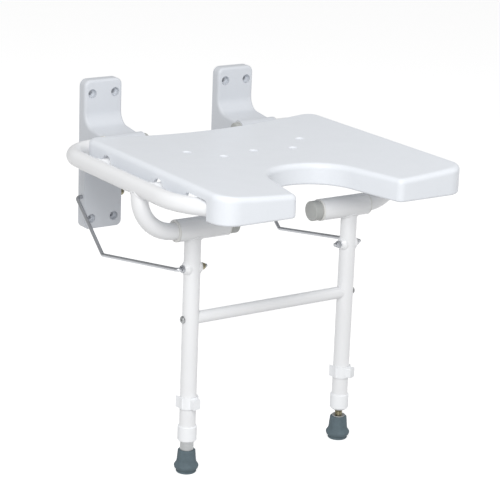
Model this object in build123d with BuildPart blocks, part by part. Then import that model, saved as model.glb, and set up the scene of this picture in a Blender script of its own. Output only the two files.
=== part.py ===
"""Fold-up wall seat with a horseshoe seat and two drop-down legs.

Frame: +X to the right for somebody who faces the seat from the room, -Y out of the wall,
+Z up.  The origin lies on the wall, at the centre of the eight wall screw holes.  All
lengths are in millimetres, and every piece is drawn with the seat down and the feet on
the floor.
"""
from build123d import *
from math import cos, radians, sin
import os

# ---------------------------------------------------------------- driving dimensions
floor_z = -426.0             # the floor, below the centre of the wall fixings

# wall brackets
bracket_x = 125.0            # centre of each bracket from the middle of the seat
bracket_width = 68.0
bracket_top = 124.0
bracket_bottom = -119.0
plate_thickness = 18.0       # upper half of the bracket
foot_thickness = 20.0        # lower half of the bracket
screw_spacing = 41.0         # across one bracket
screw_rise = 102.0           # wall screws above and below the origin
screw_hole_r = 3.5
screw_head_r = 7.4
screw_head_depth = 8.0
arm_root = 52.8              # top of the forward arm where it leaves the plate
arm_slope = 0.127            # fall of that top towards the hinge
gusset_z = -14.0             # where the slanted underside meets the lower half
root_fillet = 22.0

# hinge between brackets and seat frame
hinge_y = -82.0
hinge_z = 33.0
boss_r = 16.5
hinge_bush_r = 14.3
hinge_bush_flange_r = 16.0
hinge_bush_flange = 2.0

# tubes
tube_r = 12.7                # main frame, pivot tubes and outer legs
tube_wall = 1.5
cross_r = 9.5                # cross tubes and crossbar
cross_wall = 1.5
running_fit = 0.05           # radial clearance where one piece turns or slides on another
side_gap = 0.4               # free gap between faces of pieces that move past each other

# seat frame
rail_x = 236.0               # side rails
bend_r = 60.0                # rear bend of the side tubes and bend of the pivot tubes
front_bend_r = 100.0
front_y = -482.0             # the side tubes' inward ends, inside the front lobes
front_end_x = 104.0
rear_cross_y = -186.0
front_cross_y = -338.0
cap_length = 9.0

# leg pivot
pivot_y = -322.0
pivot_z = -40.0
leg_x = 143.0
sleeve_r = 17.0
sleeve_bore_r = 14.6
sleeve_inner_x = 86.5
sleeve_outer_x = 172.5
bush_flange = 2.5
bush_length = 20.0
pivot_cap_r = 15.5
pivot_cap_inner_x = 69.0
pivot_cap_outer_x = 82.5
pivot_cap_wall = 3.0

# seat shell
seat_bottom = 17.0
seat_edge_height = 44.0      # at the left and right edges
seat_middle_height = 32.5    # at the middle of the dished top
seat_rear_y = -112.0
seat_front_y = -511.0
seat_rear_half = 213.0
seat_front_half = 216.5
seat_wall = 5.5
seat_top_wall = 5.0
cutout_r = 72.0
cutout_y = -432.0            # centre of the round end of the cut-out
cutout_flare = 12.4          # degrees, each side of the mouth
drain_r = 5.5
drain_rim_r = 7.5
drain_places = ((0, -262), (63, -276), (103, -236))    # right half, mirrored to the left

dish_drop = seat_edge_height - seat_middle_height
dish_r = (seat_front_half ** 2 + dish_drop ** 2) / (2 * dish_drop)
dish_z = seat_bottom + seat_middle_height + dish_r
saddle_x = 108.0             # straps that hold the frame tubes up against the shell
saddle_width = 22.0
saddle_flange = 10.0
saddle_strap = 3.0
saddle_screw_r = 2.1
saddle_screw_head_r = 3.2
saddle_screw_offset = saddle_strap + saddle_screw_head_r + 0.3

# link rods
rod_r = 3.0
rod_y = -12.0
rod_z = -66.0
kink_y = -99.0
kink_z = -138.5
link_z = -100.5              # lower pivot of the rods, on the legs
rod_x = 168.5                # plane of each rod, outside bracket and leg
rod_bend_r = 6.0
rod_end_x = 162.0

link_pin_outer = rod_end_x - side_gap
link_washer = 1.6
nut_length = 7.0
boss_core_r = 6.5            # cross boss in the leg
boss_root_r = 11.5
boss_reach = 15.0

# legs
crossbar_z = -180.0
crossbar_screw_r = 3.0
leg_wall = 1.5
leg_bottom = floor_z + 60.0
inner_r = 10.5
inner_wall = 1.5
inner_top = -205.0
collar_r = 14.7
collar_bottom = floor_z + 50.0
collar_top = floor_z + 75.5
clip_z = floor_z + 114.0
clip_height = 18.0
clip_wall = 2.0
clip_clearance = 0.3
clip_block_turn = {"left": 8.0, "right": 26.0}      # finger block, degrees from straight ahead
pin_r = 3.0
hole_pitch = 25.0
hole_count = 4
ferrule_floor = 8.0          # rubber under the tube end
washer_thickness = 2.0
stud_r = 6.0
sides = ((-1, "left"), (1, "right"))


def save(builder, name):
    """Label a finished piece and write its STEP file."""
    builder.part.label = name
    export_step(builder.part, f"parts/{name}.step")


def tube_along(points, radii, radius, wall):
    """A bent round tube through the points, solid when wall is 0."""
    with BuildPart() as tube:
        with BuildLine() as path:
            if radii:
                FilletPolyline(*points, radius=radii)
            else:
                Polyline(*points)
        with BuildSketch(path.line ^ 0):
            Circle(radius)
            if wall:
                Circle(radius - wall, mode=Mode.SUBTRACT)
        sweep()
    return tube.part


def rod_between(start, end, radius):
    """A solid round bar from one point to another."""
    direction = Vector(*end) - Vector(*start)
    with BuildPart() as bar:
        with BuildSketch(Plane(origin=start, z_dir=direction)):
            Circle(radius)
        extrude(amount=direction.length)
    return bar.part


def ring(start, end, outer, inner):
    """A plain round bush or washer from one point to another."""
    direction = Vector(*end) - Vector(*start)
    with BuildPart() as piece:
        with BuildSketch(Plane(origin=start, z_dir=direction)):
            Circle(outer)
            Circle(inner, mode=Mode.SUBTRACT)
        extrude(amount=direction.length)
    return piece.part


# ---------------------------------------------------------------- wall brackets
def wall_bracket(side, name):
    """Plate, forward arm with the hinge bore, and a foot with the rod bore."""
    arm_tip = arm_root + arm_slope * (hinge_y + plate_thickness)
    with BuildPart() as bracket:
        with BuildSketch(Plane.YZ.offset(side * bracket_x - bracket_width / 2)) as profile:
            with BuildLine():
                Polyline(
                    (0, bracket_top),
                    (-plate_thickness, bracket_top),
                    (-plate_thickness, arm_root),
                    (hinge_y, arm_tip),
                    (hinge_y, hinge_z - boss_r),
                    (-foot_thickness, gusset_z),
                    (-foot_thickness, bracket_bottom),
                    (0, bracket_bottom),
                    close=True,
                )
            make_face()
            with Locations((hinge_y, hinge_z)):
                Circle(boss_r)
            roots = profile.vertices().filter_by_position(Axis.Y, gusset_z - 1, arm_root + 1)
            inside_corners = roots.filter_by_position(Axis.X, -foot_thickness - 0.5, -plate_thickness + 0.5)
            fillet(inside_corners, radius=root_fillet)
        extrude(amount=bracket_width)
        fillet(bracket.edges().filter_by(Axis.Y).group_by(Axis.Z)[-1], radius=11)
        fillet(bracket.edges().filter_by(Axis.Y).group_by(Axis.Z)[0], radius=9)
        upper_face = bracket.faces().filter_by(Axis.Y).filter_by_position(
            Axis.Y, -plate_thickness - 0.1, -plate_thickness + 0.1)
        face_edges = upper_face.sort_by(Axis.Z)[-1].edges()
        fillet(face_edges.filter_by_position(Axis.Z, arm_root + root_fillet + 4, bracket_top + 1), radius=5)
        for rise in (-screw_rise, screw_rise):
            front = -plate_thickness if rise > 0 else -foot_thickness
            for across in (-screw_spacing / 2, screw_spacing / 2):
                centre = (side * bracket_x + across, front, rise)
                with Locations(Plane(origin=centre, z_dir=(0, -1, 0))):
                    CounterBoreHole(screw_hole_r, screw_head_r, screw_head_depth)
        with Locations(Plane(origin=(side * bracket_x, hinge_y, hinge_z), z_dir=(1, 0, 0))):
            Hole(hinge_bush_r)
        with Locations(Plane(origin=(side * bracket_x, rod_y, rod_z), z_dir=(1, 0, 0))):
            Hole(rod_r + running_fit)
    save(bracket, f"{name}_wall_bracket")


def hinge_bush(side, name):
    """Nylon bush pressed into the bracket, with its flange on the outer side."""
    inner = side * (bracket_x - bracket_width / 2)
    outer = side * (bracket_x + bracket_width / 2)
    flange = outer + side * hinge_bush_flange
    bore = tube_r + running_fit
    with BuildPart() as bush:
        add(ring((inner, hinge_y, hinge_z), (outer, hinge_y, hinge_z), hinge_bush_r, bore))
        add(ring((outer, hinge_y, hinge_z), (flange, hinge_y, hinge_z), hinge_bush_flange_r, bore))
    save(bush, f"{name}_hinge_bush")


# ---------------------------------------------------------------- seat frame
def side_tube(side, name):
    """Hinge end, rear bend, side rail and front bend, in one bent tube."""
    inner_end = side * (bracket_x - bracket_width / 2 - side_gap - cap_length / 2)
    points = (
        (inner_end, hinge_y, hinge_z),
        (side * rail_x, hinge_y, hinge_z),
        (side * rail_x, front_y, hinge_z),
        (side * front_end_x, front_y, hinge_z),
    )
    bent = tube_along(points, (bend_r, front_bend_r), tube_r, tube_wall)
    with BuildPart() as tube:
        add(bent)
    save(tube, f"{name}_side_tube")


def hinge_cap(side, name):
    """Domed cap that keeps the hinge end of the side tube in its bracket."""
    near = side * (bracket_x - bracket_width / 2 - side_gap)
    cap_r = tube_r + 0.8
    with BuildPart() as cap:
        with BuildSketch(Plane.YZ.offset(near)):
            with Locations((hinge_y, hinge_z)):
                Circle(cap_r)
        extrude(amount=-side * cap_length)
        domed = cap.faces().sort_by(Axis.X)[0 if side > 0 else -1]
        fillet(domed.edges(), radius=4)
        with BuildSketch(Plane.YZ.offset(near)):
            with Locations((hinge_y, hinge_z)):
                Circle(tube_r)
        extrude(amount=-side * cap_length / 2, mode=Mode.SUBTRACT)
    save(cap, f"{name}_hinge_cap")


def tube_plug(side, name):
    """Plastic plug in the front end of the side tube, under the seat."""
    end = side * front_end_x
    bore = tube_r - tube_wall
    with BuildPart() as plug:
        add(ring((end, front_y, hinge_z), (end + side * 14, front_y, hinge_z), bore, bore - 2))
        add(rod_between((end - side * 3, front_y, hinge_z), (end, front_y, hinge_z), tube_r))
        face = plug.faces().filter_by(Axis.X).sort_by(Axis.X)[0 if side > 0 else -1]
        fillet(face.edges(), radius=1.5)
    save(plug, f"{name}_tube_plug")


def cross_tube(y, name):
    """Straight tube between the side rails, coped to sit against them."""
    reach = rail_x - tube_r / 2
    rails = [rod_between((side * rail_x, y - 30, hinge_z), (side * rail_x, y + 30, hinge_z), tube_r)
             for side, _ in sides]
    with BuildPart() as tube:
        add(tube_along(((-reach, y, hinge_z), (reach, y, hinge_z)), None, cross_r, cross_wall))
        for rail in rails:
            add(rail, mode=Mode.SUBTRACT)
    save(tube, f"{name}_cross_tube")


def pivot_tube(side, name):
    """Bent tube welded under the side rail: it drops and turns in to carry one leg."""
    end = side * (pivot_cap_inner_x + pivot_cap_wall)
    points = (
        (side * rail_x, pivot_y, hinge_z - tube_r / 2),
        (side * rail_x, pivot_y, pivot_z),
        (end, pivot_y, pivot_z),
    )
    bent = tube_along(points, (bend_r,), tube_r, tube_wall)
    rail_start = (side * rail_x, pivot_y - 30, hinge_z)
    rail_end = (side * rail_x, pivot_y + 30, hinge_z)
    rail = rod_between(rail_start, rail_end, tube_r)
    with BuildPart() as tube:
        add(bent)
        add(rail, mode=Mode.SUBTRACT)
    save(tube, f"{name}_pivot_tube")


def pivot_cap(side, name):
    """Cap on the inner end of the pivot tube, which keeps the leg on it."""
    near = side * pivot_cap_inner_x
    far = side * pivot_cap_outer_x
    with BuildPart() as cap:
        with BuildSketch(Plane.YZ.offset(near)):
            with Locations((pivot_y, pivot_z)):
                Circle(pivot_cap_r)
        extrude(amount=far - near)
        fillet(cap.edges(), radius=1.2)
        with BuildSketch(Plane.YZ.offset(far)):
            with Locations((pivot_y, pivot_z)):
                Circle(tube_r)
        extrude(amount=near - far + side * pivot_cap_wall, mode=Mode.SUBTRACT)
    save(cap, f"{name}_pivot_cap")


# ---------------------------------------------------------------- seat shell
def top_height(x):
    """Height of the dished top above one place across the seat."""
    return dish_z - (dish_r ** 2 - x ** 2) ** 0.5


def saddle_places():
    """Centre and tube radius of each clamp that holds the frame to the shell."""
    places = [(x, y, cross_r) for y in (rear_cross_y, front_cross_y) for x in (-saddle_x, saddle_x)]
    return places + [(side * (front_end_x + 16), front_y, tube_r) for side, _ in sides]


def seat_outline():
    """Plan of the shell: a tapered rectangle less the horseshoe cut-out."""
    lean = radians(cutout_flare)
    join_x = cutout_r * cos(lean)
    join_y = cutout_y + cutout_r * sin(lean)
    past_front = 20.0
    mouth_y = seat_front_y - past_front
    mouth_x = join_x + (join_y - mouth_y) * sin(lean) / cos(lean)
    with BuildSketch() as outline:
        with BuildLine():
            Polyline(
                (-seat_rear_half, seat_rear_y),
                (seat_rear_half, seat_rear_y),
                (seat_front_half, seat_front_y),
                (-seat_front_half, seat_front_y),
                close=True,
            )
        make_face()
        fillet(outline.vertices().group_by(Axis.Y)[-1], radius=25)
        fillet(outline.vertices().group_by(Axis.Y)[0], radius=32)
        with Locations((0, cutout_y)):
            Circle(cutout_r, mode=Mode.SUBTRACT)
        with BuildLine():
            Polyline((-join_x, join_y), (join_x, join_y), (mouth_x, mouth_y), (-mouth_x, mouth_y), close=True)
        make_face(mode=Mode.SUBTRACT)
        lip = outline.vertices().filter_by_position(Axis.Y, seat_front_y - 0.1, seat_front_y + 0.1)
        fillet(lip.filter_by_position(Axis.X, -mouth_x, mouth_x), radius=11)
    return outline.sketch


def dished_slab(lowered):
    """Slab under the dished top, wider and longer than the seat, lowered by one wall."""
    half = seat_front_half + 20
    bottom = seat_bottom - 1
    with BuildPart() as slab:
        with BuildSketch(Plane.XZ.offset(-seat_rear_y - 20)):
            with BuildLine():
                ThreePointArc(
                    (-half, top_height(half) - lowered),
                    (0, top_height(0) - lowered),
                    (half, top_height(half) - lowered),
                )
                Polyline(
                    (half, top_height(half) - lowered),
                    (half, bottom),
                    (-half, bottom),
                    (-half, top_height(half) - lowered),
                )
            make_face()
        extrude(amount=seat_rear_y - seat_front_y + 60)
    return slab.part


def seat_cavity(outline):
    """The hollow under the seat, open downwards."""
    slab = dished_slab(seat_top_wall)
    with BuildPart() as cavity:
        with BuildSketch(Plane.XY.offset(seat_bottom)):
            add(outline)
            offset(amount=-seat_wall, kind=Kind.ARC)
        extrude(amount=seat_edge_height)
        add(slab, mode=Mode.INTERSECT)
    return cavity.part


def saddle_screw_places():
    """Two screws for each clamp, one in front of the tube and one behind it."""
    return [(x, y + turn * (r + saddle_screw_offset)) for x, y, r in saddle_places() for turn in (-1, 1)]


def saddle_blocks():
    """Blocks under the top that the frame tubes lie against."""
    tubes = [rod_between((x - 30, y, hinge_z), (x + 30, y, hinge_z), r) for x, y, r in saddle_places()]
    screws = [rod_between((x, y, hinge_z - 1), (x, y, hinge_z + 10), saddle_screw_r)
              for x, y in saddle_screw_places()]
    with BuildPart() as blocks:
        for x, y, r in saddle_places():
            reach = r + saddle_flange
            depth = top_height(x) - seat_top_wall + 1 - hinge_z
            with Locations((x, y, hinge_z)):
                Box(saddle_width, 2 * reach, depth, align=(Align.CENTER, Align.CENTER, Align.MIN))
        for tool in tubes + screws:
            add(tool, mode=Mode.SUBTRACT)
    return blocks.part


def seat_shell():
    """Hard plastic shell: dished top, skirt, ribs, drain holes and tube notches."""
    outline = seat_outline()
    slab = dished_slab(0)
    cavity = seat_cavity(outline)
    blocks = saddle_blocks()
    arch_r = 14.5
    skirt_reach = 30.0
    bend_notch = (-470.0, -413.0)
    notch_top = 47.0
    with BuildPart() as shell:
        with BuildSketch(Plane.XY.offset(seat_bottom)):
            add(outline)
            Rectangle(2 * rail_x, -4 * seat_front_y, align=(Align.MAX, Align.CENTER), mode=Mode.SUBTRACT)
        extrude(amount=seat_edge_height + 6)
        add(slab, mode=Mode.INTERSECT)
        dished_top = shell.faces().filter_by(GeomType.CYLINDER).sort_by(SortBy.AREA)[-1]
        fillet(dished_top.edges().filter_by_position(Axis.X, 1, rail_x), radius=8)
        underside = shell.faces().sort_by(Axis.Z)[0]
        fillet(underside.edges().filter_by_position(Axis.X, 1, rail_x), radius=3.5)
        for x, y in drain_places:
            with Locations((x, y, top_height(x) + 1)):
                CounterSinkHole(drain_r, drain_rim_r + 1, depth=20, counter_sink_angle=90)
        mirror(about=Plane.YZ)
        add(cavity, mode=Mode.SUBTRACT)
        add(blocks)
        for side, _ in sides:
            for y in (rear_cross_y, front_cross_y):
                with BuildSketch(Plane.YZ.offset(side * (seat_rear_half - 8))):
                    with Locations((y, hinge_z)):
                        Circle(arch_r)
                        Rectangle(2 * arch_r, 40, align=(Align.CENTER, Align.MAX))
                extrude(amount=side * skirt_reach, mode=Mode.SUBTRACT)
            with BuildSketch(Plane.YZ.offset(side * (seat_rear_half - 18))):
                with Locations((sum(bend_notch) / 2, notch_top - 20)):
                    RectangleRounded(bend_notch[1] - bend_notch[0], 40, 6)
            extrude(amount=side * (skirt_reach + 10), mode=Mode.SUBTRACT)
    save(shell, "seat_shell")


def seat_saddles():
    """Plastic straps that clamp the frame tubes up against the shell."""
    tubes = [rod_between((x - 30, y, hinge_z), (x + 30, y, hinge_z), r) for x, y, r in saddle_places()]
    with BuildPart() as saddles:
        for x, y, r in saddle_places():
            reach = r + saddle_flange
            with Locations((x, y, hinge_z)):
                Box(saddle_width - 4, 2 * reach, saddle_strap, align=(Align.CENTER, Align.CENTER, Align.MAX))
            with BuildSketch(Plane.YZ.offset(x - saddle_width / 2 + 2)):
                with Locations((y, hinge_z)):
                    Circle(r + saddle_strap)
                    Rectangle(60, 30, align=(Align.CENTER, Align.MIN), mode=Mode.SUBTRACT)
            extrude(amount=saddle_width - 4)
        for tool in tubes:
            add(tool, mode=Mode.SUBTRACT)
        for x, y in saddle_screw_places():
            with Locations((x, y, hinge_z)):
                Hole(saddle_screw_r, depth=20)
    save(saddles, "seat_saddles")


def seat_screws():
    """Pan head screws through the straps into the shell."""
    with BuildPart() as screws:
        for x, y in saddle_screw_places():
            with BuildSketch(Plane.XY.offset(hinge_z - saddle_strap)):
                with Locations((x, y)):
                    Circle(saddle_screw_r)
            extrude(amount=12)
            with BuildSketch(Plane.XY.offset(hinge_z - saddle_strap)):
                with Locations((x, y)):
                    Circle(saddle_screw_head_r)
            extrude(amount=-2.4)
    save(screws, "seat_screws")


# ---------------------------------------------------------------- leg frame
def pivot_sleeve(side, name):
    """Sleeve at the top of the leg, which turns on the pivot tube."""
    start = (side * sleeve_inner_x, pivot_y, pivot_z)
    end = (side * sleeve_outer_x, pivot_y, pivot_z)
    with BuildPart() as sleeve:
        add(ring(start, end, sleeve_r, sleeve_bore_r))
    save(sleeve, f"{name}_pivot_sleeve")


def sleeve_bushes(side, name):
    """Two flanged nylon bushes, one in each end of the sleeve."""
    bore = tube_r + running_fit
    with BuildPart() as bushes:
        for mouth, turn in ((sleeve_inner_x, -1), (sleeve_outer_x, 1)):
            face = (side * mouth, pivot_y, pivot_z)
            inside = (side * (mouth - turn * bush_length), pivot_y, pivot_z)
            outside = (side * (mouth + turn * bush_flange), pivot_y, pivot_z)
            add(ring(face, inside, sleeve_bore_r, bore))
            add(ring(face, outside, sleeve_r, bore))
        fillet(bushes.edges().filter_by(GeomType.CIRCLE).filter_by(
            lambda edge: abs(edge.radius - sleeve_r) < 0.01), radius=0.8)
    save(bushes, f"{name}_sleeve_bushes")


def leg_tube(side, name):
    """Outer tube of one leg, coped to the sleeve, with its cross holes."""
    x = side * leg_x
    sleeve = rod_between((x - 40, pivot_y, pivot_z), (x + 40, pivot_y, pivot_z), sleeve_r)
    boss_hole = rod_between((x - 20, pivot_y, link_z), (x + 20, pivot_y, link_z), boss_core_r)
    screw_hole = rod_between((x - 20, pivot_y, crossbar_z), (x + 20, pivot_y, crossbar_z), 3.1)
    pin_hole = rod_between((x, pivot_y - 20, clip_z), (x, pivot_y, clip_z), pin_r + clip_clearance)
    with BuildPart() as leg:
        add(tube_along(((x, pivot_y, leg_bottom), (x, pivot_y, pivot_z)), None, tube_r, leg_wall))
        for tool in (sleeve, boss_hole, screw_hole, pin_hole):
            add(tool, mode=Mode.SUBTRACT)
        kept = leg.solids().sort_by(SortBy.VOLUME)[-1]
    with BuildPart() as lower:
        add(kept)
    save(lower, f"{name}_leg_tube")


def link_boss(side, name):
    """Cross boss through the leg with a cone each side, for the lower end of the rod."""
    x = side * leg_x
    leg = rod_between((x, pivot_y, link_z - 30), (x, pivot_y, link_z + 30), tube_r)
    with BuildPart() as boss:
        with BuildSketch(Plane(origin=(x, pivot_y, link_z), x_dir=(1, 0, 0), z_dir=(0, -1, 0))):
            with BuildLine():
                Polyline(
                    (-boss_reach, 0),
                    (-boss_reach, boss_core_r + 1),
                    (-boss_reach + 5, boss_root_r),
                    (boss_reach - 5, boss_root_r),
                    (boss_reach, boss_core_r + 1),
                    (boss_reach, 0),
                    close=True,
                )
            make_face()
        revolve(axis=Axis((x, pivot_y, link_z), (1, 0, 0)))
        add(leg, mode=Mode.SUBTRACT)
        with Locations(Plane(origin=(x, pivot_y, link_z), z_dir=(1, 0, 0))):
            Cylinder(boss_core_r, 2 * boss_reach)
            Hole(rod_r + running_fit)
    save(boss, f"{name}_link_boss")


def link_pin(side, name):
    """End of the rod that passes through the leg, with a domed inner end."""
    y_z = (pivot_y, link_z)
    outer = (side * link_pin_outer, *y_z)
    inner = (side * (leg_x - boss_reach - nut_length - 4), *y_z)
    pin = rod_between(outer, inner, rod_r)
    with BuildPart() as link:
        add(pin)
        tip = link.edges().sort_by(Axis.X)[0 if side > 0 else -1]
        fillet(tip, radius=1.5)
    save(link, f"{name}_link_pin")


def link_washers(side, name):
    """Two washers between the boss and the bend of the rod."""
    with BuildPart() as washers:
        for step in (0, link_washer + 0.2):
            start = (side * (leg_x + boss_reach + step), pivot_y, link_z)
            end = (side * (leg_x + boss_reach + step + link_washer), pivot_y, link_z)
            add(ring(start, end, 5.6, rod_r))
    save(washers, f"{name}_link_washers")


def hex_nut(face_x, outward, y, z, name):
    """Hexagonal nut with a domed collar, on a shaft along X."""
    with BuildPart() as nut:
        with BuildSketch(Plane(origin=(face_x, y, z), x_dir=(0, 1, 0), z_dir=(outward, 0, 0))):
            RegularPolygon(5.6, 6)
        extrude(amount=nut_length - 2)
        with BuildSketch(Plane(origin=(face_x + outward * (nut_length - 2), y, z), z_dir=(outward, 0, 0))):
            Circle(4.6)
        extrude(amount=2)
        fillet(nut.edges().filter_by(GeomType.CIRCLE).sort_by(Axis.X)[0 if outward < 0 else -1], radius=1)
        with Locations(Plane(origin=(face_x, y, z), z_dir=(outward, 0, 0))):
            Hole(rod_r)
    save(nut, name)


def crossbar():
    """Tube between the two legs, coped to both."""
    legs = [rod_between((side * leg_x, pivot_y, crossbar_z - 30), (side * leg_x, pivot_y, crossbar_z + 30), tube_r)
            for side, _ in sides]
    reach = leg_x - tube_r / 2
    with BuildPart() as bar:
        add(tube_along(((-reach, pivot_y, crossbar_z), (reach, pivot_y, crossbar_z)), None, cross_r, cross_wall))
        for leg in legs:
            add(leg, mode=Mode.SUBTRACT)
    save(bar, "crossbar")


def crossbar_plugs():
    """Threaded plugs inside the ends of the crossbar."""
    far = leg_x - tube_r - 1.0
    with BuildPart() as plugs:
        for side, _ in sides:
            start = (side * far, pivot_y, crossbar_z)
            end = (side * (far - 22), pivot_y, crossbar_z)
            add(ring(start, end, cross_r - cross_wall, crossbar_screw_r))
    save(plugs, "crossbar_plugs")


def crossbar_screws():
    """Pan head screws through the legs into the crossbar."""
    with BuildPart() as screws:
        for side, _ in sides:
            head = side * (leg_x + tube_r + 0.2)
            with BuildSketch(Plane(origin=(head, pivot_y, crossbar_z), z_dir=(side, 0, 0))):
                Circle(5.5)
            extrude(amount=3.2)
            rim = screws.faces().filter_by(Axis.X).sort_by(Axis.X)[-1 if side > 0 else 0]
            fillet(rim.edges(), radius=1.8)
            with BuildSketch(Plane(origin=(head, pivot_y, crossbar_z), z_dir=(-side, 0, 0))):
                Circle(crossbar_screw_r)
            extrude(amount=42)
    save(screws, "crossbar_screws")


def leg_collar(side, name):
    """Plastic guide on the lower end of the outer tube."""
    base = Plane((side * leg_x, pivot_y, collar_bottom))
    with BuildPart() as collar:
        with BuildSketch(base):
            Circle(collar_r)
        extrude(amount=collar_top - collar_bottom)
        chamfer(collar.edges().sort_by(Axis.Z)[0], length=3)
        chamfer(collar.edges().sort_by(Axis.Z)[-1], length=0.8)
        with BuildSketch(base):
            Circle(inner_r + running_fit)
        extrude(amount=collar_top - collar_bottom, mode=Mode.SUBTRACT)
        with BuildSketch(base.offset(leg_bottom - collar_bottom)):
            Circle(tube_r)
        extrude(amount=collar_top - leg_bottom, mode=Mode.SUBTRACT)
    save(collar, f"{name}_leg_collar")


# ---------------------------------------------------------------- snap clips
def snap_clip(side, name):
    """Clip round the front of the leg, with a finger block and the locating pin."""
    x = side * leg_x
    clip_bore_r = tube_r + clip_clearance
    clip_outer_r = clip_bore_r + clip_wall
    arm = 6.0
    tab_turn = radians(clip_block_turn[name])
    middle = Plane((x, pivot_y, clip_z - clip_height / 2))
    with BuildPart() as clip:
        with BuildSketch(middle):
            Circle(clip_outer_r)
            Rectangle(2 * clip_outer_r, 2 * arm, align=(Align.CENTER, Align.CENTER))
            Circle(clip_bore_r, mode=Mode.SUBTRACT)
            Rectangle(2 * clip_bore_r, 2 * arm, align=(Align.CENTER, Align.MIN), mode=Mode.SUBTRACT)
            with Locations((0, arm)):
                Rectangle(60, 60, align=(Align.CENTER, Align.MIN), mode=Mode.SUBTRACT)
        extrude(amount=clip_height)
        for turn in (-1, 1):
            with BuildSketch(middle):
                with BuildLine():
                    Polyline(
                        (turn * clip_bore_r, arm - 3),
                        (turn * (clip_bore_r + 1.6), arm + 4.5),
                        (turn * (clip_bore_r + 3.2), arm + 3.5),
                        (turn * clip_outer_r, arm - 3),
                        close=True,
                    )
                make_face()
            extrude(amount=clip_height)
        outwards = (sin(tab_turn), -cos(tab_turn), 0)
        with BuildSketch(Plane((x, pivot_y, clip_z), x_dir=(cos(tab_turn), sin(tab_turn), 0), z_dir=outwards)):
            RectangleRounded(14, clip_height - 2, 2)
        extrude(amount=clip_outer_r + 6)
        with BuildSketch(middle):
            Circle(clip_bore_r)
        extrude(amount=clip_height, mode=Mode.SUBTRACT)
        with BuildSketch(Plane((x, pivot_y - clip_outer_r + 1, clip_z), z_dir=(0, 1, 0))):
            Circle(pin_r)
        extrude(amount=clip_outer_r - 1 - inner_r - clip_clearance)
    save(clip, f"{name}_snap_clip")


# ---------------------------------------------------------------- link rods
def link_rod(side, name):
    """Kinked wire from the bracket to the leg; its top turns in through the bracket."""
    nut_face = bracket_x - bracket_width / 2 - side_gap
    points = (
        (side * (nut_face - nut_length - 1.5), rod_y, rod_z),
        (side * rod_x, rod_y, rod_z),
        (side * rod_x, kink_y, kink_z),
        (side * rod_x, pivot_y, link_z),
        (side * rod_end_x, pivot_y, link_z),
    )
    wire = tube_along(points, (rod_bend_r,) * 3, rod_r, 0)
    with BuildPart() as rod:
        add(wire)
    save(rod, f"{name}_link_rod")
    hex_nut(side * nut_face, -side, rod_y, rod_z, f"{name}_rod_nut")


# ---------------------------------------------------------------- feet
def inner_tube(side, name, bottom):
    """Sliding tube of one leg, with the height holes."""
    x = side * leg_x
    holes = [rod_between((x, pivot_y - 20, clip_z + step * hole_pitch),
                         (x, pivot_y, clip_z + step * hole_pitch), pin_r + clip_clearance) for step in range(hole_count)]
    with BuildPart() as tube:
        add(tube_along(((x, pivot_y, bottom), (x, pivot_y, inner_top)), None, inner_r, inner_wall))
        for hole in holes:
            add(hole, mode=Mode.SUBTRACT)
    save(tube, f"{name}_inner_tube")


def ferrule(side, name, height, neck_r):
    """Rubber foot with a flared rim over a grooved tread."""
    x = side * leg_x
    tread_r = 14.5
    flare_foot = (17.9, 7.0)
    flare_rim = (18.9, 10.0)
    neck_foot = (14.9, 19.5)
    with BuildPart() as rubber:
        with BuildSketch(Plane((x, pivot_y, floor_z), x_dir=(1, 0, 0), z_dir=(0, -1, 0))):
            with BuildLine():
                Polyline((0, 0), (tread_r, 0), (tread_r + 1, 1), (tread_r + 1, 2.5), (tread_r, 3.5), flare_foot)
                Spline(flare_foot, flare_rim, neck_foot, tangents=((0.4, 1), (-0.1, 1)))
                Polyline(
                    neck_foot,
                    (neck_r, height - 1.5),
                    (neck_r - 1.5, height),
                    (inner_r, height),
                    (inner_r, ferrule_floor),
                    (0, ferrule_floor),
                    (0, 0),
                )
            make_face()
        revolve(axis=Axis((x, pivot_y, 0), (0, 0, 1)))
    save(rubber, f"{name}_ferrule")


def ferrule_washer(side, name):
    """Steel disc that keeps the tube from cutting through the rubber."""
    bottom = floor_z + ferrule_floor
    with BuildPart() as washer:
        add(rod_between((side * leg_x, pivot_y, bottom),
                        (side * leg_x, pivot_y, bottom + washer_thickness), inner_r))
    save(washer, f"{name}_ferrule_washer")


def levelling_foot(side, name):
    """Threaded stud between the inner tube and its ferrule, for an uneven floor."""
    x = side * leg_x
    socket_bottom = floor_z + ferrule_floor + washer_thickness
    plug_top = floor_z + 37.0
    insert_bottom = floor_z + 53.0
    insert_length = 24.0
    with BuildPart() as insert:
        add(ring((x, pivot_y, insert_bottom), (x, pivot_y, insert_bottom + insert_length),
                 inner_r - inner_wall, stud_r + running_fit))
    save(insert, f"{name}_thread_insert")
    with BuildPart() as plug:
        add(ring((x, pivot_y, socket_bottom), (x, pivot_y, plug_top), inner_r, stud_r + running_fit))
    save(plug, f"{name}_foot_plug")
    with BuildPart() as washer:
        add(ring((x, pivot_y, plug_top), (x, pivot_y, plug_top + washer_thickness), inner_r, stud_r + 0.3))
    save(washer, f"{name}_stud_washer")
    with BuildPart() as stud:
        add(rod_between((x, pivot_y, socket_bottom + side_gap), (x, pivot_y, insert_bottom + 32), stud_r))
        chamfer(stud.edges().filter_by(GeomType.CIRCLE), length=0.8)
    save(stud, f"{name}_levelling_stud")
    return insert_bottom


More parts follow.
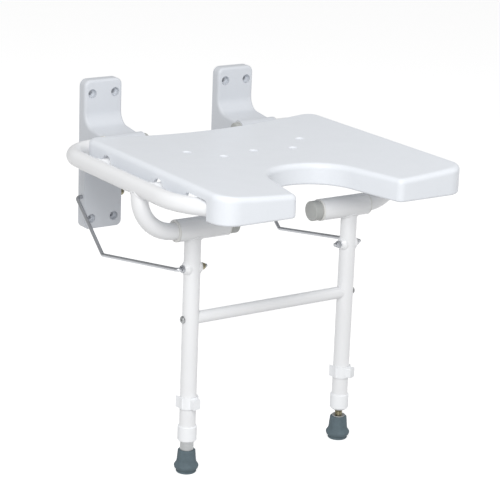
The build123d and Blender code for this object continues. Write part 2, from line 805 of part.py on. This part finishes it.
# ---------------------------------------------------------------- build every piece
def main():
    os.makedirs("parts", exist_ok=True)
    for side, name in sides:
        wall_bracket(side, name)
        hinge_bush(side, name)
        side_tube(side, name)
        hinge_cap(side, name)
        tube_plug(side, name)
        pivot_tube(side, name)
        pivot_cap(side, name)
        pivot_sleeve(side, name)
        sleeve_bushes(side, name)
        leg_tube(side, name)
        link_boss(side, name)
        link_pin(side, name)
        link_washers(side, name)
        hex_nut(side * (leg_x - boss_reach), -side, pivot_y, link_z, f"{name}_link_nut")
        link_rod(side, name)
        leg_collar(side, name)
        snap_clip(side, name)
        ferrule_washer(side, name)
    cross_tube(rear_cross_y, "rear")
    cross_tube(front_cross_y, "front")
    seat_shell()
    seat_saddles()
    seat_screws()
    crossbar()
    crossbar_plugs()
    crossbar_screws()
    tube_seat = floor_z + ferrule_floor + washer_thickness
    inner_tube(-1, "left", tube_seat)
    inner_tube(1, "right", levelling_foot(1, "right"))
    ferrule(-1, "left", 36.5, 13.5)
    ferrule(1, "right", 37.5, 13.3)


main()
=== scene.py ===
"""Looks of the fold-up shower seat: finishes for every piece, weld beads, threads and the stage."""
from math import cos, radians, sin, sqrt, tau

import bmesh
import bpy
from bpy.props import FloatProperty, FloatVectorProperty, PointerProperty
from mathutils import Matrix, Vector


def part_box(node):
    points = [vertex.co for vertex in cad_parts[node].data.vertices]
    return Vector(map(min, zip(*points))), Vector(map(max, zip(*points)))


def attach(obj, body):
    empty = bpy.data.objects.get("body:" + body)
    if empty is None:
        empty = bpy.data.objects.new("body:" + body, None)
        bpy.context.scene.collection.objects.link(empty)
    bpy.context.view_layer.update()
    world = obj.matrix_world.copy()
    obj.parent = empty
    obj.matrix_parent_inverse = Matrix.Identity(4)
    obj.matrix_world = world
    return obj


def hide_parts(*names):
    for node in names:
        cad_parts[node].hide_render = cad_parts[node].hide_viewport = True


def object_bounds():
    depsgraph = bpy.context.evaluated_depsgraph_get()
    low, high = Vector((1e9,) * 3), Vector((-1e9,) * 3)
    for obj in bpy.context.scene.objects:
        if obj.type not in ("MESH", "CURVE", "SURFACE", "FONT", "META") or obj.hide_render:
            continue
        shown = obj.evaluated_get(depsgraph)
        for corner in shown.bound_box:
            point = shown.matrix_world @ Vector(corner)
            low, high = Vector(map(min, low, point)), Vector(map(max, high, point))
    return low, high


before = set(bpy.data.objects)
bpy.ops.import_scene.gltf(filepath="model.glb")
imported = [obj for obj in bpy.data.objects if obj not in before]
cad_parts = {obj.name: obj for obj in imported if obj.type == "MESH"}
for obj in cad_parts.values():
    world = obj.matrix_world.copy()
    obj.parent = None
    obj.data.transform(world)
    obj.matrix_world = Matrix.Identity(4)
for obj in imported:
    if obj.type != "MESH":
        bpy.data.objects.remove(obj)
cad_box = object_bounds()

bl_info = {
    "name": "Shower Seat Finishes",
    "version": (1, 0, 0),
    "blender": (4, 5, 0),
    "location": "3D View > Sidebar > Shower Seat",
    "description": "Finishes, weld beads, threads and stage for a fold-up wall seat",
    "category": "Object",
}

MM = 0.001
SIDES = ((-1, "left"), (1, "right"))
UNSTRETCHED = (1, 1, 1)


# ---------------------------------------------------------------- shader maths
class Shade:
    """A socket that can be added, multiplied and so on in a plain expression."""

    def __init__(self, finish, socket):
        self.finish = finish
        self.socket = socket

    def _with(self, operation, first, second):
        node = self.finish.node("ShaderNodeMath", {"operation": operation}, {0: first, 1: second})
        return Shade(self.finish, node.outputs[0])

    def __add__(self, other):
        return self._with("ADD", self, other)

    __radd__ = __add__

    def __sub__(self, other):
        return self._with("SUBTRACT", self, other)

    def __rsub__(self, other):
        return self._with("SUBTRACT", other, self)

    def __mul__(self, other):
        return self._with("MULTIPLY", self, other)

    __rmul__ = __mul__

    def above(self, edge):
        return self._with("GREATER_THAN", self, edge)


class Finish:
    """One procedural material, built round a Principled shader."""

    def __init__(self, name):
        self.material = bpy.data.materials.new(name)
        self.material.use_nodes = True
        self.tree = self.material.node_tree
        self.shader = self.tree.nodes["Principled BSDF"]
        self.place = Shade(self, self.node("ShaderNodeTexCoord").outputs["Object"])

    def node(self, kind, settings=None, inputs=None):
        """Adds a node: its settings first, then the values or links of its sockets."""
        made = self.tree.nodes.new(kind)
        for name, value in (settings or {}).items():
            setattr(made, name, value)
        for socket, value in (inputs or {}).items():
            self.feed(made.inputs[socket], value)
        return made

    def feed(self, socket, value):
        if isinstance(value, Shade):
            self.tree.links.new(value.socket, socket)
        else:
            socket.default_value = value

    def set(self, **values):
        """Constants of the Principled shader, by socket name with _ for a space."""
        for name, value in values.items():
            self.shader.inputs[name.replace("_", " ")].default_value = value

    def noise(self, size, detail=2.0, rough=0.5, stretch=UNSTRETCHED):
        """Noise whose features are about size metres across, from 0 to 1."""
        mapped = self.node("ShaderNodeMapping", None, {"Vector": self.place, "Scale": stretch})
        made = self.node("ShaderNodeTexNoise", None, {
            "Vector": Shade(self, mapped.outputs[0]),
            "Scale": 1 / size,
            "Detail": detail,
            "Roughness": rough,
        })
        return Shade(self, made.outputs[0])

    def cells(self, size):
        """Distance from the centre of the nearest small cell, for moulded grain."""
        made = self.node("ShaderNodeTexVoronoi", None, {"Vector": self.place, "Scale": 1 / size})
        return Shade(self, made.outputs["Distance"])

    def blend(self, amount, first, second):
        """Colour between first and second."""
        made = self.node("ShaderNodeMix", {"data_type": "RGBA"}, {0: amount, 6: first, 7: second})
        return Shade(self, made.outputs[2])

    def paint(self, colour, roughness, height=None, depth=0.1 * MM, strength=1.0):
        """Colour, roughness and a bump of that depth in metres over the whole surface."""
        self.feed(self.shader.inputs["Base Color"], colour)
        self.feed(self.shader.inputs["Roughness"], roughness)
        if height is not None:
            bump = self.node("ShaderNodeBump", None, {
                "Height": height,
                "Distance": depth,
                "Strength": strength,
            })
            self.feed(self.shader.inputs["Normal"], Shade(self, bump.outputs[0]))
        return self.material


def shade_of(colour, factor):
    """A colour made lighter or darker, as four numbers."""
    return (*(min(1.0, part * factor) for part in colour[:3]), 1.0)


def powder_coat(name, colour, orange_peel):
    """White powder coat: soft orange peel, faint clouding and small dull patches."""
    finish = Finish(name)
    cloud = finish.noise(50 * MM, 3)
    peel = finish.noise(orange_peel, 2, 0.55)
    speck = finish.noise(1.2 * MM, 3).above(0.70)
    base = finish.blend(cloud * 0.5 + peel * 0.15, shade_of(colour, 1.0), shade_of(colour, 0.93))
    tone = finish.blend(speck * 0.12, base, shade_of(colour, 0.72))
    finish.set(IOR=1.5, Coat_Roughness=0.12)
    finish.feed(finish.shader.inputs["Coat Weight"], 0.25 + cloud * 0.15)
    return finish.paint(tone, 0.30 + cloud * 0.10 + peel * 0.06, peel, 0.22 * MM, 0.45)


def moulded_plastic(name, colour, grain, gloss, depth=0.12 * MM):
    """Moulded plastic with a fine spark grain and faint flow clouding."""
    finish = Finish(name)
    cloud = finish.noise(35 * MM, 3, 0.6)
    cell = finish.cells(grain)
    fine = finish.noise(grain * 0.6, 2)
    base = finish.blend(cloud * 0.7, shade_of(colour, 1.02), shade_of(colour, 0.95))
    tone = finish.blend(cell * 0.10, base, shade_of(colour, 0.86))
    finish.set(IOR=1.46)
    roughness = gloss + cloud * 0.10 + fine * 0.08
    return finish.paint(tone, roughness, cell * 0.7 + fine * 0.3, depth, 0.5)


def zinc_plate(name, colour, second, drawn, gloss):
    """Zinc plate on drawn steel: lengthwise draw lines, spangle and a second tint."""
    finish = Finish(name)
    lines = finish.noise(0.6 * MM, 3, 0.6, drawn)
    spangle = finish.noise(6 * MM, 3)
    tint = finish.noise(18 * MM, 2)
    base = finish.blend(tint, (*colour, 1.0), (*second, 1.0))
    tone = finish.blend(lines * 0.35, base, shade_of(colour, 0.66))
    finish.set(Metallic=1.0)
    return finish.paint(tone, gloss + spangle * 0.16 + lines * 0.10, lines, 0.06 * MM, 0.5)


def moulded_rubber(name, colour):
    """Matt rubber with a dusty bloom and fine mould rings round the foot."""
    finish = Finish(name)
    dust = finish.noise(4 * MM, 4, 0.65)
    cloud = finish.noise(11 * MM, 3)
    ring_scale = 190.0      # rings 1.65 mm apart
    made = finish.node("ShaderNodeTexWave", {"wave_type": "BANDS", "bands_direction": "Z"},
                       {"Vector": finish.place, "Scale": ring_scale, "Distortion": 0.15})
    rings = Shade(finish, made.outputs["Fac"])
    base = finish.blend(cloud, shade_of(colour, 1.40), shade_of(colour, 0.55))
    tone = finish.blend(dust * 0.55, base, shade_of(colour, 1.60))
    return finish.paint(tone, 0.62 + dust * 0.22, dust * 0.6 + rings * 0.35, 0.25 * MM, 0.6)


def plain_floor(name, colour):
    """Pale seamless floor with hardly any tone of its own and a faint glow."""
    finish = Finish(name)
    cloud = finish.noise(600 * MM, 2)
    tone = finish.blend(cloud * 0.3, (*colour, 1.0), shade_of(colour, 0.99))
    finish.set(Emission_Color=(1.0, 1.0, 1.0, 1.0), Emission_Strength=0.50)
    return finish.paint(tone, 0.85 + cloud * 0.1)


def wear(material, *nodes):
    """Gives CAD nodes a finish."""
    for node in nodes:
        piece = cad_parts[node]
        if not piece.material_slots:
            piece.data.materials.append(material)
        for slot in piece.material_slots:
            slot.material = material


# ---------------------------------------------------------------- mesh tools
def new_piece(name, mesh, material, body):
    piece = bpy.data.objects.new(name, mesh)
    bpy.context.scene.collection.objects.link(piece)
    mesh.materials.append(material)
    mesh.polygons.foreach_set("use_smooth", [True] * len(mesh.polygons))
    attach(piece, body)
    return piece


def both(text):
    return f"left_{text}", f"right_{text}"


def middle(node):
    low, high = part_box(node)
    return (low + high) / 2


def bead_rings(edit, path, radius, ripple):
    """A closed weld bead along the path, with the ripples of its passes."""
    count = len(path)
    sections = 10
    ripples = 22
    rings = []
    for i, point in enumerate(path):
        along = (path[(i + 1) % count] - path[i - 1]).normalized()
        side = along.orthogonal() if not rings else side - along * side.dot(along)
        side.normalize()
        other = along.cross(side)
        size = radius * (1 + ripple * sin(i * tau * ripples / count))
        turns = [a * tau / sections for a in range(sections)]
        corners = [point + side * size * cos(turn) + other * size * sin(turn) for turn in turns]
        rings.append([edit.verts.new(corner) for corner in corners])
    for i in range(count):
        here, there = rings[i], rings[(i + 1) % count]
        gap = min(range(sections), key=lambda k: (there[k].co - here[0].co).length)
        for a in range(sections):
            b = (a + 1) % sections
            edit.faces.new((here[a], here[b], there[(b + gap) % sections], there[(a + gap) % sections]))


def saddle_path(centre, along, across, small_r, large_r, steps=96, keep_in=None):
    """Where a tube meets another: centre lies on the other tube's axis, and along runs out of it."""
    normal = along.cross(across)
    path = []
    for i in range(steps):
        turn = i * tau / steps
        off = small_r * sin(turn)
        rise = sqrt(max(large_r ** 2 - off ** 2, 0.0))
        point = centre + across * small_r * cos(turn) + normal * off + along * rise
        if keep_in is not None:
            point.x = max(-keep_in, min(keep_in, point.x))
        path.append(point)
    return path


def weld_beads(name, paths, material, body):
    settings = bpy.context.scene.seat_details
    edit = bmesh.new()
    for path in paths:
        bead_rings(edit, path, settings.bead_radius, settings.bead_ripple)
    mesh = bpy.data.meshes.new(name)
    bmesh.ops.recalc_face_normals(edit, faces=edit.faces)
    edit.to_mesh(mesh)
    edit.free()
    return new_piece(name, mesh, material, body)


def threaded_bar(name, centre, low_z, high_z, radius, pitch, depth):
    """Bar with a turned thread, its ends chamfered."""
    round_steps = 40
    steps_in_a_pitch = 8
    end_chamfer = 0.8 * MM
    up_steps = int((high_z - low_z) / pitch * steps_in_a_pitch)
    edit = bmesh.new()
    rows = []
    for j in range(up_steps + 1):
        z = low_z + (high_z - low_z) * j / up_steps
        chamfer = min(z - low_z, high_z - z, end_chamfer)
        row = []
        for i in range(round_steps):
            turn = i / round_steps
            wave = abs(((z / pitch - turn) % 1.0) * 2 - 1)
            r = min(radius - depth * wave, radius - end_chamfer + chamfer)
            place = (centre.x + r * cos(turn * tau), centre.y + r * sin(turn * tau), z)
            row.append(edit.verts.new(place))
        rows.append(row)
    for low, high in zip(rows, rows[1:]):
        for i in range(round_steps):
            k = (i + 1) % round_steps
            edit.faces.new((low[i], low[k], high[k], high[i]))
    edit.faces.new(list(reversed(rows[0])))
    edit.faces.new(rows[-1])
    mesh = bpy.data.meshes.new(name)
    edit.to_mesh(mesh)
    edit.free()
    return mesh


# ---------------------------------------------------------------- what a user may change
class SeatFinishes(bpy.types.PropertyGroup):
    """Colours and grain of each finish."""

    coat: FloatVectorProperty(name="Powder coat", description="Colour of the tube frame and legs",
                              subtype="COLOR", size=3, min=0, max=1, default=(0.88, 0.887, 0.90))
    bracket: FloatVectorProperty(name="Bracket", description="Colour of the wall brackets",
                                 subtype="COLOR", size=3, min=0, max=1, default=(0.665, 0.69, 0.73))
    shell: FloatVectorProperty(name="Seat shell", description="Colour of the moulded seat",
                               subtype="COLOR", size=3, min=0, max=1, default=(0.815, 0.845, 0.89))
    cap: FloatVectorProperty(name="Caps", description="Colour of the caps on the hinge and pivot tubes",
                             subtype="COLOR", size=3, min=0, max=1, default=(0.44, 0.45, 0.435))
    clip: FloatVectorProperty(name="Collars and clips", description="Colour of the collars and snap clips",
                              subtype="COLOR", size=3, min=0, max=1, default=(0.94, 0.955, 0.975))
    nylon: FloatVectorProperty(name="Nylon", description="Colour of bushes, plugs and straps",
                               subtype="COLOR", size=3, min=0, max=1, default=(0.78, 0.78, 0.76))
    zinc: FloatVectorProperty(name="Bright zinc", description="Colour of inner tubes, screws and washers",
                              subtype="COLOR", size=3, min=0, max=1, default=(0.40, 0.41, 0.415))
    rod: FloatVectorProperty(name="Link rods", description="Colour of the link rods and their washers",
                             subtype="COLOR", size=3, min=0, max=1, default=(0.42, 0.43, 0.45))
    yellow: FloatVectorProperty(name="Yellow zinc", description="Colour of nuts and the levelling stud",
                                subtype="COLOR", size=3, min=0, max=1, default=(0.27, 0.245, 0.165))
    rubber: FloatVectorProperty(name="Rubber", description="Colour of the ferrules",
                                subtype="COLOR", size=3, min=0, max=1, default=(0.088, 0.122, 0.140))
    orange_peel: FloatProperty(name="Orange peel", description="Size of the ripples in the powder coat",
                               subtype="DISTANCE", unit="LENGTH", min=0.0002, default=0.0016)
    shell_grain: FloatProperty(name="Seat grain", description="Size of the moulded grain on the seat",
                               subtype="DISTANCE", unit="LENGTH", min=0.0002, default=0.0013)


class SeatDetails(bpy.types.PropertyGroup):
    """Sizes of the small shapes that are added to the frame."""

    bead_radius: FloatProperty(name="Weld bead", description="Radius of the weld beads",
                              subtype="DISTANCE", unit="LENGTH", min=0.0002, default=0.0017)
    bead_ripple: FloatProperty(name="Bead ripple", description="Depth of the ripples, as part of the bead",
                               subtype="FACTOR", min=0, max=0.5, default=0.07)
    thread_pitch: FloatProperty(name="Thread pitch", description="Rise of the stud's thread in one turn",
                                subtype="DISTANCE", unit="LENGTH", min=0.0005, default=0.00175)
    thread_depth: FloatProperty(name="Thread depth", description="Depth of the stud's thread",
                                subtype="DISTANCE", unit="LENGTH", min=0.0001, default=0.0008)
    recess: FloatProperty(name="Screw recess", description="Width across the cross recess in a screw head",
                          subtype="DISTANCE", unit="LENGTH", min=0.001, default=0.0056)


class SeatStage(bpy.types.PropertyGroup):
    """Light, floor and camera."""

    sky: FloatProperty(name="Room light", description="Strength of the even room light",
                       min=0, default=0.47)
    key: FloatProperty(name="Key light", description="Power of the large soft light",
                       unit="POWER", min=0, default=47)
    fill: FloatProperty(name="Fill light", description="Power of the light on the other side",
                        unit="POWER", min=0, default=5)
    top: FloatProperty(name="Top light", description="Power of the light straight above the seat",
                       unit="POWER", min=0, default=6)
    low: FloatProperty(name="Low light", description="Power of the light that reaches under the seat",
                       unit="POWER", min=0, default=4.8)
    floor: FloatVectorProperty(name="Floor", description="Colour of the floor",
                               subtype="COLOR", size=3, min=0, max=1, default=(0.93, 0.93, 0.93))
    azimuth: FloatProperty(name="Azimuth", description="How far the camera stands to the left",
                           subtype="ANGLE", default=radians(33.509))
    elevation: FloatProperty(name="Elevation", description="How far the camera looks down",
                             subtype="ANGLE", default=radians(16.242))
    roll: FloatProperty(name="Roll", description="Lean of the camera",
                        subtype="ANGLE", default=radians(2.021))
    distance: FloatProperty(name="Distance", description="Camera to the middle of the seat",
                            subtype="DISTANCE", unit="LENGTH", min=0.5, default=2.986)
    lens: FloatProperty(name="Lens", description="Focal length in millimetres", min=10, default=136.8)


# ---------------------------------------------------------------- one operator for each group of pieces
class BracketFinish(bpy.types.Operator):
    """Moulded plastic on both wall brackets"""

    bl_idname = "shower_seat.brackets"
    bl_label = "Wall brackets"

    def execute(self, context):
        look = context.scene.seat_finishes
        wear(moulded_plastic("bracket_moulding", look.bracket, 1.1 * MM, 0.34), *both("wall_bracket"))
        wear(moulded_plastic("hinge_nylon", look.nylon, 0.9 * MM, 0.38), *both("hinge_bush"))
        return {"FINISHED"}


class ShellFinish(bpy.types.Operator):
    """Fine-grained plastic on the seat shell and its straps"""

    bl_idname = "shower_seat.shell"
    bl_label = "Seat shell"

    def execute(self, context):
        look = context.scene.seat_finishes
        wear(moulded_plastic("seat_moulding", look.shell, look.shell_grain, 0.30, 0.16 * MM), "seat_shell")
        wear(moulded_plastic("strap_nylon", look.nylon, 0.9 * MM, 0.42), "seat_saddles")
        dull = shade_of(look.zinc, 0.9)[:3]
        wear(zinc_plate("strap_screw_zinc", look.zinc, dull, UNSTRETCHED, 0.26), "seat_screws")
        return {"FINISHED"}


class SeatFrame(bpy.types.Operator):
    """Powder coat and weld beads on the tubes under the seat"""

    bl_idname = "shower_seat.seat_frame"
    bl_label = "Seat frame"

    def execute(self, context):
        look = context.scene.seat_finishes
        coat = powder_coat("frame_coat", look.coat, look.orange_peel)
        wear(coat, *both("side_tube"), *both("pivot_tube"), "rear_cross_tube", "front_cross_tube")
        low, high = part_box("right_side_tube")
        tube_r = (high.z - low.z) / 2
        rail_x = high.x - tube_r
        rail_z = (high.z + low.z) / 2
        details = context.scene.seat_details
        inside = high.x - details.bead_radius * (1 + details.bead_ripple)
        lengthwise = Vector((0, 1, 0))
        down = Vector((0, 0, -1))
        paths = []
        for side, name in SIDES:
            inward = Vector((-side, 0, 0))
            for node in ("rear_cross_tube", "front_cross_tube"):
                cross_low, cross_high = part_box(node)
                centre = Vector((side * rail_x, (cross_low.y + cross_high.y) / 2, rail_z))
                cross_r = (cross_high.z - cross_low.z) / 2
                paths.append(saddle_path(centre, inward, lengthwise, cross_r, tube_r))
            pivot = middle(f"{name}_pivot_tube")
            centre = Vector((side * rail_x, pivot.y, rail_z))
            paths.append(saddle_path(centre, down, lengthwise, tube_r, tube_r, keep_in=inside))
        weld_beads("seat_frame_welds", paths, coat, "seat")
        return {"FINISHED"}


class Legs(bpy.types.Operator):
    """Powder coat and weld beads on the legs and crossbar"""

    bl_idname = "shower_seat.legs"
    bl_label = "Legs"

    def execute(self, context):
        look = context.scene.seat_finishes
        coat = powder_coat("leg_coat", look.coat, look.orange_peel)
        wear(coat, *both("pivot_sleeve"), *both("leg_tube"), *both("link_boss"), "crossbar")
        wear(moulded_plastic("sleeve_nylon", look.nylon, 0.9 * MM, 0.38), *both("sleeve_bushes"))
        wear(moulded_plastic("crossbar_nylon", look.nylon, 0.9 * MM, 0.40), "crossbar_plugs")
        down = Vector((0, 0, -1))
        across = Vector((1, 0, 0))
        paths = []
        for _, name in SIDES:
            leg = middle(f"{name}_leg_tube")
            sleeve_low, sleeve_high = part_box(f"{name}_pivot_sleeve")
            leg_low, leg_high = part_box(f"{name}_leg_tube")
            centre = Vector((leg.x, leg.y, (sleeve_low.z + sleeve_high.z) / 2))
            sleeve_r = (sleeve_high.z - sleeve_low.z) / 2
            leg_r = (leg_high.x - leg_low.x) / 2
            paths.append(saddle_path(centre, down, across, leg_r, sleeve_r))
        weld_beads("leg_welds", paths, coat, "leg_frame")
        return {"FINISHED"}


class Fittings(bpy.types.Operator):
    """Plastic caps, plugs, collars and snap clips"""

    bl_idname = "shower_seat.fittings"
    bl_label = "Caps, collars and clips"

    def execute(self, context):
        look = context.scene.seat_finishes
        caps = (*both("hinge_cap"), *both("pivot_cap"))
        wear(moulded_plastic("cap_moulding", look.cap, 1.0 * MM, 0.34), *caps)
        wear(moulded_plastic("collar_moulding", look.clip, 1.0 * MM, 0.40), *both("leg_collar"))
        wear(moulded_plastic("clip_moulding", look.clip, 0.8 * MM, 0.36), *both("snap_clip"))
        wear(moulded_plastic("plug_moulding", look.nylon, 1.0 * MM, 0.42), *both("tube_plug"))
        return {"FINISHED"}


class LinkRods(bpy.types.Operator):
    """Zinc plate on the link rods and what holds them"""

    bl_idname = "shower_seat.link_rods"
    bl_label = "Link rods"

    def execute(self, context):
        look = context.scene.seat_finishes
        pale = shade_of(look.rod, 1.3)[:3]
        rod = zinc_plate("rod_zinc", look.rod, pale, (1, 0.06, 0.06), 0.20)
        wear(rod, *both("link_rod"), *both("link_pin"))
        washers = (*both("link_washers"), "right_link_nut")
        wear(zinc_plate("washer_zinc", look.rod, pale, UNSTRETCHED, 0.22), *washers)
        gold = shade_of(look.yellow, 1.15)[:3]
        nuts = (*both("rod_nut"), "left_link_nut")
        wear(zinc_plate("nut_yellow_zinc", look.yellow, gold, UNSTRETCHED, 0.26), *nuts)
        return {"FINISHED"}


class CrossbarScrews(bpy.types.Operator):
    """Screw heads with a cross recess, in place of the plain ones"""

    bl_idname = "shower_seat.crossbar_screws"
    bl_label = "Crossbar screws"

    def execute(self, context):
        look = context.scene.seat_finishes
        slot_length = context.scene.seat_details.recess
        slot_width = 1.1 * MM
        slot_depth = 1.2 * MM
        head_turn = radians(20)
        zinc = zinc_plate("screw_zinc", look.zinc, shade_of(look.zinc, 0.85)[:3], UNSTRETCHED, 0.26)
        low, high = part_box("crossbar_screws")
        centre = (low + high) / 2
        piece = new_piece("crossbar_screw_heads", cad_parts["crossbar_screws"].data.copy(), zinc,
                          "leg_frame")
        cutter_edit = bmesh.new()
        for x in (low.x, high.x):
            place = Matrix.Translation((x, centre.y, centre.z)) @ Matrix.Rotation(head_turn, 4, "X")
            for height, width in ((slot_length, slot_width), (slot_width, slot_length)):
                size = Matrix.Diagonal((2 * slot_depth, height, width, 1))
                bmesh.ops.create_cube(cutter_edit, size=1, matrix=place @ size)
        cutter_mesh = bpy.data.meshes.new("recess_cutter")
        cutter_edit.to_mesh(cutter_mesh)
        cutter_edit.free()
        cutter = bpy.data.objects.new("recess_cutter", cutter_mesh)
        context.scene.collection.objects.link(cutter)
        cut = piece.modifiers.new("recess", "BOOLEAN")
        cut.operation = "DIFFERENCE"
        cut.solver = "EXACT"
        cut.use_self = True
        cut.object = cutter
        context.view_layer.update()
        finished = bpy.data.meshes.new_from_object(piece.evaluated_get(context.evaluated_depsgraph_get()))
        piece.modifiers.clear()
        piece.data = finished
        bpy.data.objects.remove(cutter)
        fewest_faces = 20
        if len(finished.polygons) < fewest_faces:
            raise RuntimeError("the screw recess left no screw head")
        finished.polygons.foreach_set("use_smooth", [False] * len(finished.polygons))
        finished.materials.clear()
        finished.materials.append(zinc)
        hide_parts("crossbar_screws")
        return {"FINISHED"}


class Feet(bpy.types.Operator):
    """Inner tubes, threaded levelling stud and rubber ferrules"""

    bl_idname = "shower_seat.feet"
    bl_label = "Feet"

    def execute(self, context):
        look = context.scene.seat_finishes
        details = context.scene.seat_details
        pale = shade_of(look.zinc, 1.15)[:3]
        wear(zinc_plate("inner_tube_zinc", look.zinc, pale, (1, 1, 0.05), 0.30), *both("inner_tube"))
        discs = (*both("ferrule_washer"), "right_stud_washer")
        wear(zinc_plate("disc_zinc", look.zinc, pale, UNSTRETCHED, 0.24), *discs)
        gold = shade_of(look.yellow, 1.2)[:3]
        yellow = zinc_plate("stud_yellow_zinc", look.yellow, gold, UNSTRETCHED, 0.26)
        wear(yellow, "right_thread_insert")
        wear(moulded_plastic("foot_plug_nylon", look.nylon, 0.9 * MM, 0.42), "right_foot_plug")
        wear(moulded_rubber("ferrule_rubber", look.rubber), *both("ferrule"))
        low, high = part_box("right_levelling_stud")
        mesh = threaded_bar("right_stud_thread", (low + high) / 2, low.z, high.z, (high.x - low.x) / 2,
                            details.thread_pitch, details.thread_depth)
        stud = new_piece("right_stud_thread", mesh, yellow, "right_foot")
        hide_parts("right_levelling_stud")
        return {"FINISHED"}


class Stage(bpy.types.Operator):
    """Pale floor, soft lights and the camera"""

    bl_idname = "shower_seat.stage"
    bl_label = "Stage"

    floor_half = 40
    seat_middle = (0, -0.25, -0.05)
    legs_middle = (0, -0.25, -0.3)
    # each light's place, what it points at and its width, in metres
    lights = {
        "key": ((-1.6, -2.1, 1.65), seat_middle, 1.1),
        "fill": ((1.6, -1.1, 0.7), seat_middle, 1.2),
        "top": ((0.2, -0.4, 2.1), seat_middle, 1.0),
        "low": ((-1.1, -2.0, 0.05), legs_middle, 0.9),
    }
    camera_aim = (0, -0.2, -0.096)
    camera_shift = (0.0434, -0.0363)

    def execute(self, context):
        stage = context.scene.seat_stage
        self.floor(context, stage)
        world = bpy.data.worlds.new("room")
        world.use_nodes = True
        background = world.node_tree.nodes["Background"]
        background.inputs["Color"].default_value = (1.0, 1.0, 1.0, 1.0)
        background.inputs["Strength"].default_value = stage.sky
        context.scene.world = world
        for name, (place, aim, width) in self.lights.items():
            self.area(f"{name}_light", context, Vector(place), Vector(aim), width, getattr(stage, name))
        self.camera(context, stage)
        context.scene.view_settings.view_transform = "Standard"
        return {"FINISHED"}

    def floor(self, context, stage):
        height = cad_box[0][2]
        corners = ((-1, -1), (1, -1), (1, 1), (-1, 1))
        mesh = bpy.data.meshes.new("floor")
        points = [(x * self.floor_half, y * self.floor_half, height) for x, y in corners]
        mesh.from_pydata(points, [], [(0, 1, 2, 3)])
        mesh.materials.append(plain_floor("pale_floor", stage.floor))
        floor = bpy.data.objects.new("floor", mesh)
        context.scene.collection.objects.link(floor)
        floor.visible_diffuse = False

    def area(self, name, context, place, aim, width, power):
        light = bpy.data.lights.new(name, "AREA")
        light.size = width
        light.energy = power
        lamp = bpy.data.objects.new(name, light)
        lamp.location = place
        lamp.rotation_euler = (aim - place).to_track_quat("-Z", "Y").to_euler()
        context.scene.collection.objects.link(lamp)

    def camera(self, context, stage):
        out = cos(stage.elevation)
        back = Vector((-sin(stage.azimuth) * out, -cos(stage.azimuth) * out, sin(stage.elevation)))
        level = Vector((cos(stage.azimuth), -sin(stage.azimuth), 0))
        upright = back.cross(level)
        right = level * cos(stage.roll) + upright * sin(stage.roll)
        up = upright * cos(stage.roll) - level * sin(stage.roll)
        data = bpy.data.cameras.new("camera")
        data.sensor_width = 36
        data.lens = stage.lens
        data.shift_x, data.shift_y = self.camera_shift
        camera = bpy.data.objects.new("camera", data)
        turn = Matrix((right, up, back)).transposed()
        place = Vector(self.camera_aim) + back * stage.distance
        camera.matrix_world = Matrix.Translation(place) @ turn.to_4x4()
        context.scene.collection.objects.link(camera)
        context.scene.camera = camera


class SeatPanel(bpy.types.Panel):
    """Every group of pieces, in the 3D view's sidebar"""

    bl_idname = "VIEW3D_PT_shower_seat"
    bl_label = "Shower Seat"
    bl_space_type = "VIEW_3D"
    bl_region_type = "UI"
    bl_category = "Shower Seat"

    def draw(self, context):
        for group in (context.scene.seat_finishes, context.scene.seat_details, context.scene.seat_stage):
            box = self.layout.box()
            for name in group.__annotations__:
                box.prop(group, name)
        for operator in OPERATORS:
            self.layout.operator(operator.bl_idname)


OPERATORS = (BracketFinish, ShellFinish, SeatFrame, Legs, Fittings, LinkRods, CrossbarScrews, Feet, Stage)
GROUPS = (("seat_finishes", SeatFinishes), ("seat_details", SeatDetails), ("seat_stage", SeatStage))


def register():
    for name, group in GROUPS:
        bpy.utils.register_class(group)
        setattr(bpy.types.Scene, name, PointerProperty(type=group))
    for operator in OPERATORS:
        bpy.utils.register_class(operator)
    bpy.utils.register_class(SeatPanel)


def unregister():
    bpy.utils.unregister_class(SeatPanel)
    for operator in reversed(OPERATORS):
        bpy.utils.unregister_class(operator)
    for name, group in reversed(GROUPS):
        delattr(bpy.types.Scene, name)
        bpy.utils.unregister_class(group)


def main():
    register()
    for operator in OPERATORS:
        group, name = operator.bl_idname.split(".")
        getattr(getattr(bpy.ops, group), name)()


if __name__ == "__main__":
    main()
